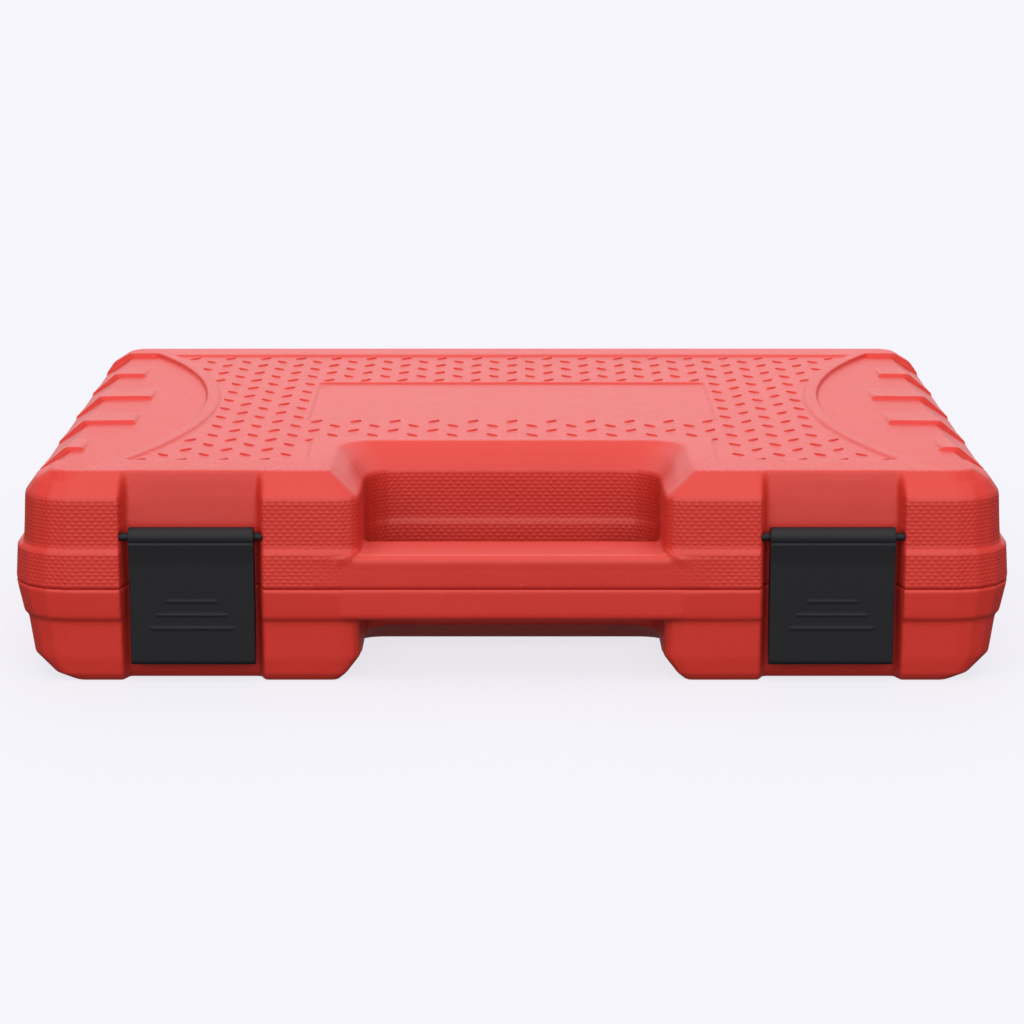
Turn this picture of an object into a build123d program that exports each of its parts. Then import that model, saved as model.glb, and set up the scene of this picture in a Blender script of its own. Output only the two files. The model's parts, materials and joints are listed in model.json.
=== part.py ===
from build123d import *
import math
import os

os.makedirs("parts", exist_ok=True)

# ---- driving dimensions, millimetres --------------------------------------------------------
# The case lies flat on z = 0. +X is to the right, -Y is the handle side, +Z is up.
seam_z = 37.6          # where the lid meets the base
band_top = 52.0        # top of the raised band round the case
top_z = 82.0           # flat top of the lid
band_side = 193.5      # half width at the band
band_front = -152.0
band_rear = 142.0
skin = 2.6             # wall of the moulded shells
corner_start = 170.5   # the case corners are rounded outside this half width
least_corner = 5.0     # plan rounding where the case is narrower

latch_in = 97.3        # latch recess, from its inner to its outer side
latch_out = 149.0
latch_mid = 123.0
recess_floor = -143.6  # back wall of the latch recess

hand_wall = -97.0      # back wall of the hand recess
hand_round = 14.0
bar_front, bar_back = -151.8, -123.0
bar_bottom, bar_top = 25.0, 51.0
bar_half = 66.0
web_round = 11.0       # rounding of the hand gap where the bar joins the case

hinge_y = band_rear + 5.0
knuckle_r = 4.6
hinge_pin_r = 1.5
running = 0.06         # radial clearance of a shaft in its hole
knuckle_length = 12.0
knuckle_gap = 0.4
hinge_centre = 112.0   # middle of each hinge, left and right

pivot_y, pivot_z = -147.8, 57.6   # latch pivot
latch_width = 48.0
latch_roll = 3.8
latch_pin_r = 1.5
latch_bottom = 7.4

field_z = 81.0         # floor of the patterned field on the lid
field_rear = 115.5
panel_z = 80.2         # floor of the label panel
dish_z = 80.0          # floor of the two side dishes
dish_front, dish_rear = -120.0, 120.0
ring_r = 261.4         # outer edge of the raised ring round a dish
dish_r = 256.0
ring_centre = 386.7    # the ring's centre lies outside the case
plan_mid = -7.0        # middle of the lid's pattern
rib_pitch = 54.3
first_rib = 69.0       # steep front of the rearmost rib
rib_ramp = 30.0        # length of a rib's slope behind its steep front

panel_floor = 34.0     # top of the tray between the pockets
tray_skin = 2.0
ceiling = 68.0         # inner wall of the lid
play = 0.4             # room round a stored tool


def write(piece, label):
    piece.part.label = label
    export_step(piece.part, f"parts/{label}.step")


# ---- case shells ----------------------------------------------------------------------------
# One level of the case outline, seen from above. Every level has the same points, so that
# levels join by flat or ruled faces: hand recess, latch recess, rounded corners, rear.
def outline(z, side, front, rear, floor, wall, wall_half, mouth, ease=7.0, inset=0.0):
    side, rear = side - inset, rear - inset
    front, floor, wall = front + inset, floor + inset, wall + inset
    wall_half, mouth = wall_half + inset, mouth + inset
    inner, outer = latch_in - inset, latch_out + inset
    cut = max(side - corner_start, least_corner - inset)
    turns = [math.radians(90 * i / 4) for i in range(5)]
    middle = [wall_half - hand_round, wall - hand_round]
    right = [(middle[0] + hand_round * math.sin(a), middle[1] + hand_round * math.cos(a)) for a in turns]
    right += [
        (wall_half + 0.25 * (mouth - wall_half), front + 13.0),
        (mouth, front + ease / 2),
        (mouth + ease / 3, front + ease / 7),
        (mouth + ease, front),
        (inner - 1.6, front),
        (inner + 0.6, floor),
        (outer - 0.6, floor),
        (outer + 1.6, front),
    ]
    right += [(side - cut + cut * math.sin(a), front + cut - cut * math.cos(a)) for a in turns]
    right += [(side - cut + cut * math.cos(a), rear - cut + cut * math.sin(a)) for a in turns]
    return z, right + [(-x, y) for x, y in reversed(right)]


def stack(levels):
    with BuildPart() as body:
        for z, points in levels:
            with BuildSketch(Plane.XY.offset(z)):
                with BuildLine():
                    Polyline(*points, close=True)
                make_face()
        loft(ruled=True)
    return body.part


edge = 0.5             # small bevel on both sides of the seam

lid_levels = [
    outline(seam_z, band_side - edge, band_front + edge, band_rear, recess_floor, -97.9, 58, 59),
    outline(seam_z + edge, band_side, band_front, band_rear, recess_floor, -97.9, 58, 59),
    outline(band_top, band_side - 1.0, band_front + 0.3, band_rear, recess_floor, -97.8, 58, 59),
    outline(band_top + 1.0, 189.8, -150.4, 140.4, recess_floor, hand_wall, 58, 59),
    outline(62.0, 189.2, -150.2, 140.0, recess_floor, hand_wall, 58, 59),
    outline(71.5, 188.7, -150.0, 139.8, -142.2, hand_wall, 58, 59),
    outline(73.0, 188.3, -149.8, 139.6, -141.9, hand_wall, 58.3, 59.2),
    outline(77.9, 184.8, -144.7, 137.6, -141.0, -90.0, 63.5, 65.5, 4),
    outline(top_z, 177.6, -140.3, 134.0, -140.0, -84.7, 69.5, 70.5, 1.5),
]
base_levels = [
    outline(0.0, 170.0, -146.0, 132.0, -140.5, -81.0, 66, 67.5, 3),
    outline(3.0, 177.5, -148.0, 137.0, -142.4, -87.0, 63, 64.2, 4),
    outline(9.7, 186.6, -149.0, 140.0, recess_floor, -98.0, 58, 59),
    outline(24.8, 189.2, -149.6, 140.8, recess_floor, -98.6, 58, 59),
    outline(25.8, 190.6, -151.2, 141.6, recess_floor, -99.0, 58, 59),
    outline(seam_z - edge, band_side, band_front, band_rear, recess_floor, -99.0, 58, 59),
    outline(seam_z, band_side - edge, band_front + edge, band_rear, recess_floor, -99.0, 58, 59),
]
lid_hollow_levels = [
    outline(seam_z - 1, band_side, band_front, band_rear, recess_floor, -99.0, 58, 59, inset=skin),
    outline(band_top - 1, band_side - 1.2, band_front, band_rear, recess_floor, -99.0, 58, 59, inset=skin),
    outline(band_top + 1, 189.0, -150.2, 140.0, recess_floor, hand_wall, 58, 59, inset=skin),
    outline(69.0, 187.4, -149.8, 139.8, -142.2, hand_wall, 58, 59, inset=skin),
    outline(77.2, 174.6, -143.0, 134.0, -140.6, -89.0, 66, 67, inset=skin),
]
base_hollow_levels = [
    outline(skin, 174.0, -146.0, 136.0, -141.0, -85.5, 64, 65, inset=skin),
    outline(9.7, 186.0, -147.6, 139.8, recess_floor, -97.0, 58, 59, inset=skin),
    outline(24.8, 189.0, -149.2, 140.6, recess_floor, -98.6, 58, 59, inset=skin),
    outline(seam_z + 1, band_side - 0.4, band_front, band_rear, recess_floor, -99.0, 58, 59, inset=skin),
]
lid_hollow = stack(lid_hollow_levels)
base_hollow = stack(base_hollow_levels)

# left ends of the knuckles: 0 gives the base's three of each hinge, 1 the lid's two
def hinge_places(first):
    pitch = knuckle_length + knuckle_gap
    start = -(5 * knuckle_length + 4 * knuckle_gap) / 2
    return [sign * hinge_centre + start + pitch * i for sign in (-1, 1) for i in range(first, 5, 2)]


# the handle bar, split by the seam: flush with the band in front, with webs to the case behind
with BuildPart() as handle_bar:
    with BuildSketch(Plane.YZ.offset(-bar_half)):
        for y, z, r in ((bar_front, bar_top, 6.5), (bar_back, bar_top, 5.0),
                        (bar_front, bar_bottom, 2.5), (bar_back, bar_bottom, 5.0)):
            toward_y = r if y == bar_front else -r
            toward_z = r if z == bar_bottom else -r
            with Locations((y + toward_y, z + toward_z)):
                Circle(r)
        make_hull()
    extrude(amount=2 * bar_half)
    with BuildSketch(Plane.XY.offset(bar_bottom + 2.5)):
        with Locations((0, bar_back + web_round / 2)):
            Rectangle(120, web_round + 4)
        with Locations((0, bar_back + 30)):
            RectangleRounded(115.4, 60, web_round, mode=Mode.SUBTRACT)
    extrude(amount=bar_top - bar_bottom - 5)


# what the two side dishes take off the lid: a shallow floor and a hollow down the side bevel
def dish_cutter(sign):
    with BuildPart() as cutter:
        with BuildSketch(Plane.XZ.offset(-dish_rear)):
            with BuildLine():
                Polyline(
                    (sign * 188.7, 71.5), (sign * 176.2, dish_z), (sign * 120, dish_z),
                    (sign * 120, 95), (sign * 215, 95), (sign * 215, 71.5), close=True)
            make_face()
        extrude(amount=dish_rear - dish_front)
        with BuildSketch(Plane.XY.offset(60)):
            with Locations((sign * ring_centre, plan_mid)):
                Circle(dish_r)
        extrude(amount=50, mode=Mode.INTERSECT)
    return cutter.part


# one shingle rib: it climbs from the dish floor to the full lid surface, then drops steeply
def rib(sign, front_y, inner_x):
    low = [(inner_x, dish_z - 0.6), (176.6, dish_z - 0.6), (188.4, 71.2),
           (188.5, 71.4), (176.6, dish_z - 0.2), (inner_x, dish_z - 0.2)]
    high = [(inner_x, dish_z - 0.6), (176.6, dish_z - 0.6), (188.4, 71.2),
            (188.6, 72.6), (178.0, top_z - 0.4), (inner_x, top_z - 0.4)]
    with BuildPart() as body:
        for y, points in ((front_y, high), (front_y + rib_ramp, low)):
            with BuildSketch(Plane.XZ.offset(-y)):
                with BuildLine():
                    Polyline(*[(sign * x, z) for x, z in points], close=True)
                make_face()
        loft(ruled=True)
    return body.part


rib_inner = (165.0, 156.0, 157.0, 171.0)   # inner ends, from the rear rib to the front one
rib_fronts = [first_rib - rib_pitch * i for i in range(4)]
lid_solid = stack(lid_levels)

with BuildPart() as lid_shell:
    add(lid_solid)
    add(handle_bar.part)
    with BuildSketch(Plane.XY.offset(-10)):
        Rectangle(500, 500)
    extrude(amount=seam_z + 10, mode=Mode.SUBTRACT)
    # patterned field between the two rings, and the label panel sunk into it
    with BuildSketch(Plane.XY.offset(field_z)):
        with Locations((0, (field_rear + dish_front) / 2)):
            Rectangle(320, field_rear - dish_front)
        with Locations((ring_centre, plan_mid), (-ring_centre, plan_mid)):
            Circle(ring_r, mode=Mode.SUBTRACT)
        with Locations((0, -124.5)):
            Rectangle(160, 90, mode=Mode.SUBTRACT)
    extrude(amount=10, mode=Mode.SUBTRACT)
    with BuildSketch(Plane.XY.offset(panel_z)):
        with Locations((0, 3.5)):
            RectangleRounded(170, 89, 3)
    extrude(amount=10, mode=Mode.SUBTRACT)
    for sign in (-1, 1):
        add(dish_cutter(sign), mode=Mode.SUBTRACT)
        for front_y, inner_x in zip(rib_fronts, rib_inner):
            add(rib(sign, front_y, inner_x))
    add(lid_hollow, mode=Mode.SUBTRACT)
    # holes for the latch pins, blind in the recess sides
    for sign in (-1, 1):
        with BuildSketch(Plane.YZ.offset(sign * latch_mid)):
            with Locations((pivot_y, pivot_z)):
                Circle(latch_pin_r)
        extrude(amount=29.5, both=True, mode=Mode.SUBTRACT)
    # two knuckles of each hinge
    for x in hinge_places(1):
        with BuildSketch(Plane.YZ.offset(x)):
            with Locations((hinge_y, seam_z)):
                Circle(knuckle_r)
            with BuildLine():
                Polyline(
                    (band_rear - 1.2, seam_z + 0.6), (hinge_y, seam_z + 0.6),
                    (hinge_y, seam_z + knuckle_r), (band_rear - 1.2, seam_z + 9), close=True)
            make_face()
        extrude(amount=knuckle_length)
        with BuildSketch(Plane.YZ.offset(x)):
            with Locations((hinge_y, seam_z)):
                Circle(hinge_pin_r + running)
        extrude(amount=knuckle_length, mode=Mode.SUBTRACT)
write(lid_shell, "lid_shell")

base_solid = stack(base_levels)
keeper_half = 19.0     # the lip that a latch hooks under

with BuildPart() as base_shell:
    add(base_solid)
    add(handle_bar.part)
    with BuildSketch(Plane.XY.offset(seam_z)):
        Rectangle(500, 500)
    extrude(amount=100, mode=Mode.SUBTRACT)
    add(base_hollow, mode=Mode.SUBTRACT)
    for sign in (-1, 1):
        with BuildSketch(Plane.YZ.offset(sign * latch_mid)):
            with BuildLine():
                Polyline(
                    (recess_floor + 0.8, 20.0), (-147.0, 20.0), (-147.0, 21.4),
                    (recess_floor + 0.8, 25.0), close=True)
            make_face()
        extrude(amount=keeper_half, both=True)
    for x in hinge_places(0):
        with BuildSketch(Plane.YZ.offset(x)):
            with Locations((hinge_y, seam_z)):
                Circle(knuckle_r)
            with BuildLine():
                Polyline(
                    (band_rear - 1.2, seam_z - 0.6), (hinge_y, seam_z - 0.6),
                    (hinge_y, seam_z - knuckle_r), (band_rear - 1.2, seam_z - 9), close=True)
            make_face()
        extrude(amount=knuckle_length)
        with BuildSketch(Plane.YZ.offset(x)):
            with Locations((hinge_y, seam_z)):
                Circle(hinge_pin_r)
        extrude(amount=knuckle_length, mode=Mode.SUBTRACT)
write(base_shell, "base_shell")

# ---- pins and latches -----------------------------------------------------------------------
hinge_length = 5 * knuckle_length + 4 * knuckle_gap
for sign, side in ((-1, "left"), (1, "right")):
    with BuildPart() as hinge_pin:
        with BuildSketch(Plane.YZ.offset(sign * hinge_centre)):
            with Locations((hinge_y, seam_z)):
                Circle(hinge_pin_r)
        extrude(amount=hinge_length / 2, both=True)
    write(hinge_pin, f"hinge_pin_{side}")

    with BuildPart() as latch_pin:
        with BuildSketch(Plane.YZ.offset(sign * latch_mid)):
            with Locations((pivot_y, pivot_z)):
                Circle(latch_pin_r)
        extrude(amount=29.5, both=True)
    write(latch_pin, f"latch_pin_{side}")

    latch_face = pivot_y - latch_roll + 0.8
    with BuildPart() as latch:
        # plate with a rolled top, a hook that goes under the keeper and a finger lip
        with BuildSketch(Plane.YZ.offset(sign * latch_mid)):
            with Locations((pivot_y, pivot_z)):
                Circle(latch_roll)
            with BuildLine():
                Polyline(
                    (latch_face + 0.9, latch_bottom), (latch_face, latch_bottom + 1.2),
                    (latch_face, pivot_z - 10), (latch_face - 0.3, pivot_z - 6),
                    (latch_face - 0.7, pivot_z - 2.2),
                    (pivot_y, pivot_z), (latch_face + 2.6, pivot_z - 6),
                    (latch_face + 2.6, 19.6), (-144.3, 19.6), (-144.3, 18.2), (latch_face + 4.4, 16.4),
                    (latch_face + 2.6, 16.0), (latch_face + 2.6, 11.4), (latch_face + 3.6, 10.6),
                    (latch_face + 3.6, latch_bottom), close=True)
            make_face()
        extrude(amount=latch_width / 2, both=True)
        # side flanges, clear of the keeper
        for end in (-1, 1):
            with BuildSketch(Plane.YZ.offset(sign * latch_mid + end * latch_width / 2)):
                with BuildLine():
                    Polyline(
                        (latch_face + 1, latch_bottom + 1), (latch_face + 1, pivot_z - 4),
                        (-145.4, pivot_z - 4.6), (-144.6, pivot_z - 9), (-144.6, 15),
                        (latch_face + 3.6, latch_bottom + 1), close=True)
                make_face()
            extrude(amount=-end * 2.2)
        # three grip ridges, longer towards the bottom
        for z, length in ((32.7, 19), (27.3, 27), (22.0, 32)):
            with BuildSketch(Plane.XZ.offset(-latch_face)):
                with Locations((sign * latch_mid, z)):
                    SlotOverall(length, 0.7)
            extrude(amount=0.28)
        with BuildSketch(Plane.YZ.offset(sign * latch_mid)):
            with Locations((pivot_y, pivot_z)):
                Circle(latch_pin_r + running)
        extrude(amount=latch_width, both=True, mode=Mode.SUBTRACT)
    write(latch, f"latch_{side}")


# ---- inner walls: plan of the storage space, the same in lid and tray -------------------------
def storage_plan(z, shrink):
    s = shrink
    right = [(72 + s, -86 + s), (72 + s, -132 + s), (173 - s, -132 + s), (178 - s, -127 + s),
             (178 - s, 123 - s), (173 - s, 128 - s)]
    return z, right + [(-x, y) for x, y in reversed(right)]


rim = 2.2              # thickness of the inner walls' rims
rim_inset = skin + 0.3
lid_rim = outline(seam_z, band_side, band_front, band_rear, recess_floor, -99.0, 58, 59, inset=rim_inset)
base_rim = outline(seam_z, band_side - 0.4, band_front, band_rear, recess_floor, -99.0, 58, 59,
                   inset=rim_inset + 0.7)
lid_storage = stack([storage_plan(seam_z - 1, 0), storage_plan(ceiling, 5)])
lid_storage_outer = stack([storage_plan(seam_z, -rim), storage_plan(ceiling + rim, 5 - rim)])

with BuildPart() as lid_liner:
    with BuildSketch(Plane.XY.offset(seam_z)):
        with BuildLine():
            Polyline(*lid_rim[1], close=True)
        make_face()
    extrude(amount=rim)
    add(lid_storage_outer)
    add(lid_storage, mode=Mode.SUBTRACT)
write(lid_liner, "lid_liner")

# ---- stored tools. Each adds the pocket it lies in, and the tray is cut from the list ----------
pockets = []


# a lying round tool takes a trough: axis "x" or "y", its two ends, its line and radius
def trough(axis, start, end, across, z, r):
    pockets.append(("trough", axis, start - play, end + play, across, z, r + play))


def well(x, y, r, bottom):
    pockets.append(("well", x, y, r + play, bottom - play))


def box_pocket(x0, y0, x1, y1, bottom):
    pockets.append(("box", x0, y0, x1, y1, bottom))


def lying_height(r):
    return panel_floor - r / 3


# a turned solid along an axis: points are (radius, distance along the axis)
def turned(plane, points):
    with BuildPart() as body:
        with BuildSketch(plane):
            with BuildLine():
                Polyline(*points, close=True)
            make_face()
        revolve(axis=Axis(plane.origin, plane.y_dir))
    return body.part


def along_y(x, y, z):
    return Plane(origin=(x, y, z), x_dir=(1, 0, 0), z_dir=(0, 0, 1))


def along_x(x, y, z):
    return Plane(origin=(x, y, z), x_dir=(0, 0, 1), z_dir=(0, 1, 0))


half_inch, quarter_inch = 12.7, 6.35
socket_rear = 123.0    # the big sockets' drive ends stand in one line
socket_gap = 2.4


# a socket lying on its side, mouth towards -Y, drive end towards +Y
def socket(label, x, rear, size, drive):
    big = drive == half_inch
    nose_r = (1.22 * size + 4.0) / 2 if big else (1.3 * size + 2.4) / 2
    drive_r = max(11.0, 5.2 + 0.32 * size) if big else 6.2
    length = 38.0 if big else 25.0
    if size >= 27:
        length = 43.0
    r = max(nose_r, drive_r)
    z = lying_height(r)
    mouth_y = rear - length
    depth = 0.42 * length
    neck = 0.50 * length
    step = neck + abs(nose_r - drive_r) * 0.9 + 0.4
    bevel = 0.07 * nose_r
    across = size / math.cos(math.radians(30)) / 2
    groove = 0.3
    shape = [
        (0, 0), (nose_r - bevel, 0), (nose_r, bevel), (nose_r, neck), (drive_r, step),
        (drive_r, length - 7.2), (drive_r - groove, length - 6.8), (drive_r - groove, length - 5.8),
        (drive_r, length - 5.4), (drive_r, length - 0.8), (drive_r - 0.8, length), (0, length)]
    with BuildPart() as body:
        add(turned(along_y(x, mouth_y, z), shape))
        with BuildSketch(Plane(origin=(x, mouth_y, z), x_dir=(1, 0, 0), z_dir=(0, 1, 0))):
            RegularPolygon(across, 6)
            if big:
                RegularPolygon(across, 6, rotation=30)
        extrude(amount=depth, mode=Mode.SUBTRACT)
        with BuildSketch(Plane(origin=(x, mouth_y, z), x_dir=(1, 0, 0), z_dir=(0, 1, 0))):
            Circle(0.42 * drive)
        extrude(amount=length, mode=Mode.SUBTRACT)
        with BuildSketch(Plane(origin=(x, rear, z), x_dir=(1, 0, 0), z_dir=(0, 1, 0))):
            Rectangle(drive + 0.2, drive + 0.2)
        extrude(amount=-1.1 * drive, mode=Mode.SUBTRACT)
    write(body, label)
    trough("y", mouth_y, rear, x, z, r)
    return r


# sockets side by side, the largest first
def socket_row(prefix, start_x, rear, sizes, drive):
    x = start_x
    for size in sizes:
        big = drive == half_inch
        nose_r = (1.22 * size + 4.0) / 2 if big else (1.3 * size + 2.4) / 2
        drive_r = max(11.0, 5.2 + 0.32 * size) if big else 6.2
        r = max(nose_r, drive_r)
        socket(f"{prefix}_{size:02d}mm", x + r, rear, size, drive)
        x += 2 * r + socket_gap


socket_row("socket", -173.4, socket_rear, (32, 30, 27, 24, 22, 19, 17, 14, 13, 12, 10), half_inch)
socket_row("small_socket", -173.0, 70.0, (13, 12, 10, 8, 7, 6, 5), quarter_inch)


# an extension bar lying along X, socket end at the left, square at the right
def extension(label, x, y, length, drive):
    end_r = 0.86 * drive
    bar_r = 0.46 * drive
    z = lying_height(end_r)
    end_length = 1.9 * drive
    square = 1.15 * drive
    shape = [
        (0, 0), (end_r - 0.8, 0), (end_r, 0.8), (end_r, 0.65 * end_length),
        (end_r - 0.5, 0.65 * end_length + 0.5), (end_r - 0.5, 0.65 * end_length + 2),
        (end_r, 0.65 * end_length + 2.5), (end_r, end_length), (bar_r, end_length + 4),
        (bar_r, length - square - 6), (0.62 * drive, length - square - 3),
        (0.62 * drive, length - square), (0, length - square)]
    with BuildPart() as body:
        add(turned(along_x(x, y, z), shape))
        with BuildSketch(Plane.YZ.offset(x + length - square)):
            with Locations((y, z)):
                Rectangle(drive, drive)
        extrude(amount=square)
        with BuildSketch(Plane.YZ.offset(x)):
            with Locations((y, z)):
                Rectangle(drive + 0.2, drive + 0.2)
        extrude(amount=1.2 * drive, mode=Mode.SUBTRACT)
        # seat of the detent ball
        with BuildSketch(Plane(origin=(x + length - square / 2, y, z + drive / 2 - 0.2 * drive))):
            Circle(0.15 * drive)
        extrude(amount=drive, mode=Mode.SUBTRACT)
    write(body, label)
    trough("x", x, x + length, y, z, end_r)
    return x + length - square / 2, y, z + drive / 2 - 0.05 * drive, 0.15 * drive - 0.02


ball_places = [
    extension("extension_long", -173.0, 31.0, 250.0, half_inch),
    extension("extension_short", -173.0, -24.0, 125.0, half_inch),
    extension("extension_small", -34.0, -26.0, 76.0, quarter_inch),
]
with BuildPart() as extension_balls:
    for x, y, z, r in ball_places:
        with Locations((x, y, z)):
            Sphere(r)
write(extension_balls, "extension_balls")

# spark plug sockets, hexagonal mouths with a rubber ring that holds the plug
spark_length = 65.0
spark_places = {
    "spark_plug_socket_21mm": (92.0, 32.0, 21, 14.2),
    "spark_plug_socket_16mm": (92.0, 62.0, 16, 11.2),
}
with BuildPart() as spark_plug_rings:
    for x, y, size, r in spark_places.values():
        with BuildSketch(Plane.YZ.offset(x + 20)):
            with Locations((y, lying_height(r))):
                Circle(0.44 * size)
                Circle(0.36 * size, mode=Mode.SUBTRACT)
        extrude(amount=9)
write(spark_plug_rings, "spark_plug_rings")
for label, (x, y, size, r) in spark_places.items():
    z = lying_height(r)
    with BuildPart() as body:
        add(turned(along_x(x, y, z), [
            (0, 0), (r - 1, 0), (r, 1), (r, 22), (r - 1.4, 24), (r - 1.4, 48), (11.0, 51),
            (11.0, spark_length - 1), (10.0, spark_length), (0, spark_length)]))
        with BuildSketch(Plane.YZ.offset(x)):
            with Locations((y, z)):
                RegularPolygon(size / 2 / math.cos(math.radians(30)), 6)
        extrude(amount=20, mode=Mode.SUBTRACT)
        with BuildSketch(Plane.YZ.offset(x)):
            with Locations((y, z)):
                Circle(0.44 * size)
        extrude(amount=spark_length - 10, mode=Mode.SUBTRACT)
        with BuildSketch(Plane.YZ.offset(x + spark_length)):
            with Locations((y, z)):
                Rectangle(half_inch + 0.2, half_inch + 0.2)
        extrude(amount=-14, mode=Mode.SUBTRACT)
    write(body, label)
    trough("x", x, x + spark_length, y, z, r)


# ---- a ratchet lying along X: head at the left, square down, lever and button up ----------------
def ratchet(prefix, x, y, length, drive):
    k = drive / half_inch
    z = panel_floor
    low, high = z - 9.0 * k, z + 9.0 * k
    gear_low, gear_high = low + 4.0 * k, high - 3.6 * k
    head_r, gear_r, hub_r = 20.5 * k, 13.2 * k, 9.4 * k
    boss_r, button_r = 7.8 * k, 4.0 * k
    lever_x = x + 16.5 * k
    grip_start, grip_end = x + length * 0.42, x + length
    shank_r = 7.2 * k
    screw_places = [(x - 8.2 * k, y - 12.5 * k), (x - 8.2 * k, y + 12.5 * k), (x + 24.5 * k, y)]

    with BuildPart() as head:
        with BuildSketch(Plane.XY.offset(low)):
            with Locations((x, y)):
                Circle(head_r)
            with BuildLine():
                Polyline(
                    (x + 4 * k, y - 20.1 * k), (x + 30 * k, y - 8.5 * k), (x + 36 * k, y - 7 * k),
                    (x + 36 * k, y + 7 * k), (x + 30 * k, y + 8.5 * k), (x + 4 * k, y + 20.1 * k),
                    close=True)
            make_face()
        extrude(amount=high - low)
        chamfer(head.edges().group_by(Axis.Z)[-1], 1.4 * k)
        chamfer(head.edges().group_by(Axis.Z)[0], 1.4 * k)
        add(turned(along_x(x + 34 * k, y, z), [
            (0, 0), (shank_r, 0), (shank_r - 0.6 * k, 0.5 * (grip_start - x - 34 * k)),
            (shank_r, grip_start + 6 - x - 34 * k), (shank_r - 1, grip_end - 8 - x - 34 * k),
            (0, grip_end - 8 - x - 34 * k)]))
        # room for the gear and the pawl, the hole for the square, and the seat of the cover
        with BuildSketch(Plane.XY.offset(gear_low)):
            with Locations((x, y)):
                Circle(gear_r + 0.5 * k)
            with Locations((lever_x, y)):
                Circle(7.6 * k)
        extrude(amount=high, mode=Mode.SUBTRACT)
        with BuildSketch(Plane.XY.offset(low - 1)):
            with Locations((x, y)):
                Circle(hub_r + running)
        extrude(amount=high, mode=Mode.SUBTRACT)
        with BuildSketch(Plane.XY.offset(gear_high)):
            with Locations((x, y)):
                Circle(17.4 * k)
            with Locations((x + 16 * k, y)):
                Circle(11.2 * k)
        extrude(amount=high, mode=Mode.SUBTRACT)
        for sx, sy in screw_places:
            with BuildSketch(Plane.XY.offset(gear_high - 5 * k)):
                with Locations((sx, sy)):
                    Circle(1.1 * k)
            extrude(amount=5 * k, mode=Mode.SUBTRACT)
    write(head, f"{prefix}_body")

    with BuildPart() as grip:
        r = 14.5 * k
        span = grip_end - grip_start
        add(turned(along_x(grip_start, y, z), [
            (0, 0), (r - 3 * k, 0), (r, 4 * k), (r, 9 * k), (r - 2.2 * k, 15 * k),
            (r - 1.6 * k, 0.4 * span), (r - 0.4 * k, 0.72 * span), (r, span - 9 * k),
            (r - 1.4 * k, span - 3 * k), (r - 4.5 * k, span), (0, span)]))
        # six finger flutes along the grip
        with BuildSketch(Plane.YZ.offset(grip_start + 20 * k)):
            with Locations((y, z)):
                with PolarLocations(r + 2.2 * k, 6):
                    Circle(4.0 * k)
        extrude(amount=span - 36 * k, mode=Mode.SUBTRACT)
        add(head.part, mode=Mode.SUBTRACT)
    write(grip, f"{prefix}_grip")

    teeth = 36
    with BuildPart() as gear:
        with BuildSketch(Plane.XY.offset(gear_low + 0.1)):
            with Locations((x, y)):
                Circle(gear_r - 0.9 * k)
                with PolarLocations(gear_r - 0.9 * k, teeth):
                    Rectangle(1.6 * k, 1.0 * k)
        extrude(amount=gear_high - gear_low - 0.2)
        with BuildSketch(Plane.XY.offset(low - 0.6 * k)):
            with Locations((x, y)):
                Circle(hub_r)
        extrude(amount=gear_low - low + 1.2 * k)
        with BuildSketch(Plane.XY.offset(low - 0.6 * k)):
            with Locations((x, y)):
                Rectangle(drive, drive)
        extrude(amount=-1.2 * drive)
        chamfer(gear.edges().group_by(Axis.Z)[0], 0.9 * k)
        with BuildSketch(Plane.XY.offset(gear_high - 1)):
            with Locations((x, y)):
                Circle(boss_r)
        extrude(amount=high - gear_high + 1 + 0.6 * k)
        with BuildSketch(Plane.XY.offset(gear_low + 2 * k)):
            with Locations((x, y)):
                Circle(button_r + running)
        extrude(amount=50, mode=Mode.SUBTRACT)
        with BuildSketch(Plane(origin=(x, y - drive / 2, low - 0.85 * drive), x_dir=(1, 0, 0),
                               z_dir=(0, -1, 0))):
            Circle(0.15 * drive)
        extrude(amount=-0.25 * drive, mode=Mode.SUBTRACT)
    write(gear, f"{prefix}_drive")

    with BuildPart() as ball:
        with Locations((x, y - drive / 2 + 0.05 * drive, low - 0.85 * drive)):
            Sphere(0.15 * drive - 0.02)
    write(ball, f"{prefix}_ball")

    with BuildPart() as cover:
        with BuildSketch(Plane.XY.offset(gear_high)):
            with Locations((x, y)):
                Circle(17.4 * k - 0.05)
            with Locations((x + 16 * k, y)):
                Circle(11.2 * k - 0.05)
            with Locations((x, y)):
                Circle(boss_r + running, mode=Mode.SUBTRACT)
            with Locations((lever_x, y)):
                Circle(2.4 * k + running, mode=Mode.SUBTRACT)
        extrude(amount=high - gear_high + 0.4 * k)
        for sx, sy in screw_places:
            with BuildSketch(Plane.XY.offset(gear_high)):
                with Locations((sx, sy)):
                    Circle(1.2 * k)
            extrude(amount=high, mode=Mode.SUBTRACT)
            with BuildSketch(Plane.XY.offset(high - 0.8 * k)):
                with Locations((sx, sy)):
                    Circle(2.2 * k)
            extrude(amount=high, mode=Mode.SUBTRACT)
    write(cover, f"{prefix}_cover")

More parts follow.
